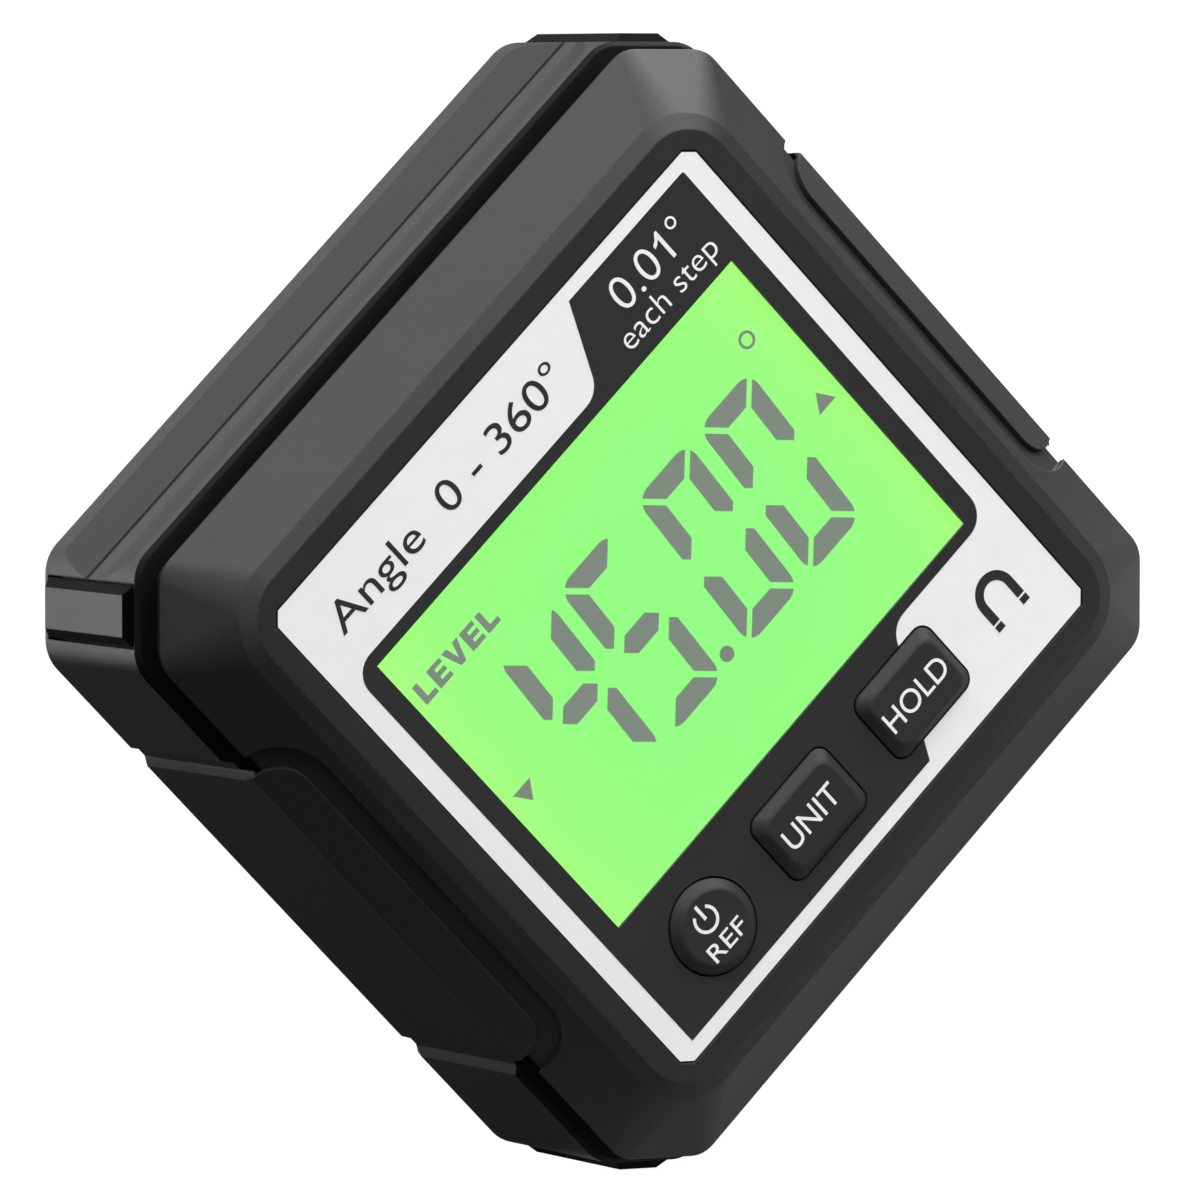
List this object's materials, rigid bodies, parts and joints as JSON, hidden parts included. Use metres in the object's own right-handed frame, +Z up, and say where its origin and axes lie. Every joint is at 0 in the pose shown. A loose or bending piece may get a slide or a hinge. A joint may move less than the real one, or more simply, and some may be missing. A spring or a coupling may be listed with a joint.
{
  "type": "digital angle gauge",
  "caption": "Square magnetic level box with a backlit angle display, push keys, side grips, V grooves in base and top, and a battery bay with a lift-off cover in the back.",
  "frame": {"origin": "middle of the base, halfway between the key tops and the back face", "axes": "+Z up from the base, -Y the side of the display, +X to the right as the display is read"},
  "size_m": [0.0606, 0.0226, 0.0607],
  "materials": {
    "case_plastic": "fine satin moulding",
    "label_print": "printed film",
    "clear_window": "clear",
    "display_glass": "backlit",
    "white_plastic": "moulded",
    "clear_acrylic": "polished",
    "lamp_resin": "clear",
    "strip_rubber": "layered",
    "board_laminate": "coated",
    "chip_resin": "moulded",
    "key_plastic": "satin",
    "cell_jacket": "satin sleeve",
    "contact_metal": "nickel plated",
    "screw_steel": "zinc plated",
    "magnet_nickel": "nickel plated",
    "grip_rubber": "matt"
  },
  "bodies": {
    "case": {"front_shell": "case_plastic", "rear_shell": "case_plastic", "graphic_label": "label_print", "display_window": "clear_window", "lcd_glass": "display_glass", "lcd_holder": "white_plastic", "light_guide": "clear_acrylic", "backlight_lamps": "lamp_resin", "contact_strip": "strip_rubber", "main_board": "board_laminate", "tilt_sensor": "chip_resin", "controller_chip": "chip_resin", "hold_switch": "chip_resin", "unit_switch": "chip_resin", "power_switch": "chip_resin", "upper_cell": "cell_jacket", "lower_cell": "cell_jacket", "upper_spring": "contact_metal", "lower_spring": "contact_metal", "bridge_contact": "contact_metal", "positive_contact": "contact_metal", "negative_contact": "contact_metal", "case_screws": "screw_steel", "board_screws": "screw_steel", "left_magnet": "magnet_nickel", "right_magnet": "magnet_nickel", "left_grip": "grip_rubber", "right_grip": "grip_rubber", "corner_pad_top_right": "grip_rubber", "corner_pad_top_left": "grip_rubber", "corner_pad_base_left": "grip_rubber", "corner_pad_base_right": "grip_rubber"},
    "hold": {"hold_key": "key_plastic", "hold_plunger": "key_plastic"},
    "unit": {"unit_key": "key_plastic", "unit_plunger": "key_plastic"},
    "power": {"power_key": "key_plastic", "power_plunger": "key_plastic"},
    "cover": {"battery_cover": "case_plastic"}
  },
  "joints": [
    {"name": "hold_press", "type": "slide", "parent": "case", "child": "hold", "axis": [0, 1, 0], "range_m": [0, 0.0005], "stiffness_N_per_m": 1500},
    {"name": "unit_press", "type": "slide", "parent": "case", "child": "unit", "axis": [0, 1, 0], "range_m": [0, 0.0005], "stiffness_N_per_m": 1500},
    {"name": "power_press", "type": "slide", "parent": "case", "child": "power", "axis": [0, 1, 0], "range_m": [0, 0.0005], "stiffness_N_per_m": 1500},
    {"name": "cover_lift", "type": "slide", "parent": "case", "child": "cover", "axis": [0, 1, 0], "range_m": [0, 0.03]}
  ]
}
